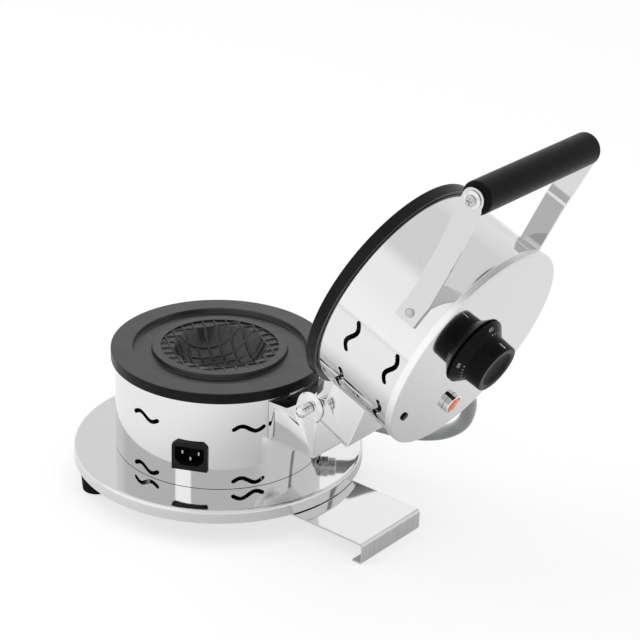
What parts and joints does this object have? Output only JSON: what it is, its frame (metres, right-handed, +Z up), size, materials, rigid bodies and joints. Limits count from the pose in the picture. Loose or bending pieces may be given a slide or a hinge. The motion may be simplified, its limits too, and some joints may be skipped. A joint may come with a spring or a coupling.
{
  "type": "ufo burger maker",
  "caption": "Countertop burger mould press with two heated round plates, a hinged lid with a bar handle and a thermostat knob.",
  "frame": {"origin": "centre of the bounding box on the table, lid open at rest", "axes": "+X towards the hinge and the raised lid, +Z up, -Y towards the side with the mains inlet"},
  "size_m": [0.4297, 0.2466, 0.3641],
  "materials": {
    "polished_steel": "mirror-polished stainless steel",
    "brushed_steel": "plain steel fasteners",
    "coated_plate": "cast, dark matte non-stick coating",
    "black_plastic": "satin moulded",
    "rubber": "matte",
    "orange_lens": "glossy translucent",
    "grey_sleeve": "smooth flexible sleeve",
    "element_steel": "dark heat-tinted steel"
  },
  "bodies": {
    "base": {"base_disc": "polished_steel", "base_screw_front_far": "brushed_steel", "base_screw_front_near": "brushed_steel", "base_screw_rear_far": "brushed_steel", "base_screw_rear_near": "brushed_steel", "conduit": "grey_sleeve", "foot_far": "rubber", "foot_near": "rubber", "foot_screw_far": "brushed_steel", "foot_screw_near": "brushed_steel", "hinge_nut_far": "brushed_steel", "hinge_nut_near": "brushed_steel", "hinge_pin": "brushed_steel", "hinge_spacer_far": "element_steel", "hinge_spacer_near": "element_steel", "inlet_pin_earth": "brushed_steel", "inlet_pin_line": "brushed_steel", "inlet_pin_neutral": "brushed_steel", "inlet_socket": "black_plastic", "lower_bracket": "polished_steel", "lower_gland": "brushed_steel", "lower_heater": "element_steel", "lower_housing": "polished_steel", "lower_plate": "coated_plate", "lower_plate_screw_1": "brushed_steel", "lower_plate_screw_2": "brushed_steel", "lower_plate_screw_3": "brushed_steel", "rear_stand": "polished_steel"},
    "lid": {"arm_rivet_far": "brushed_steel", "arm_rivet_near": "brushed_steel", "cap_plug": "black_plastic", "handle_arm_far": "polished_steel", "handle_arm_near": "polished_steel", "handle_grip": "black_plastic", "handle_rod": "brushed_steel", "handle_screw_far": "brushed_steel", "handle_screw_near": "brushed_steel", "handle_washer_far": "brushed_steel", "handle_washer_near": "brushed_steel", "lamp_bezel": "polished_steel", "lamp_lens": "orange_lens", "thermostat_body": "brushed_steel", "top_cap": "polished_steel", "upper_bracket": "polished_steel", "upper_gland": "brushed_steel", "upper_heater": "element_steel", "upper_housing": "polished_steel", "upper_plate": "coated_plate", "upper_plate_screw_1": "brushed_steel", "upper_plate_screw_2": "brushed_steel", "upper_plate_screw_3": "brushed_steel"},
    "knob": {"knob": "black_plastic", "thermostat_shaft": "brushed_steel"}
  },
  "joints": [
    {"name": "lid_hinge", "type": "hinge", "parent": "base", "child": "lid", "pos_m": [0.03313, 0, 0.1171], "axis": [0, 1, 0], "range_deg": [-111.9, 0], "deforming": ["conduit"]},
    {"name": "thermostat_knob", "type": "hinge", "parent": "lid", "child": "knob", "pos_m": [0.16333, 0, 0.19916], "axis": [-0.9278, 0, 0.373], "range_deg": [0, 270]}
  ]
}
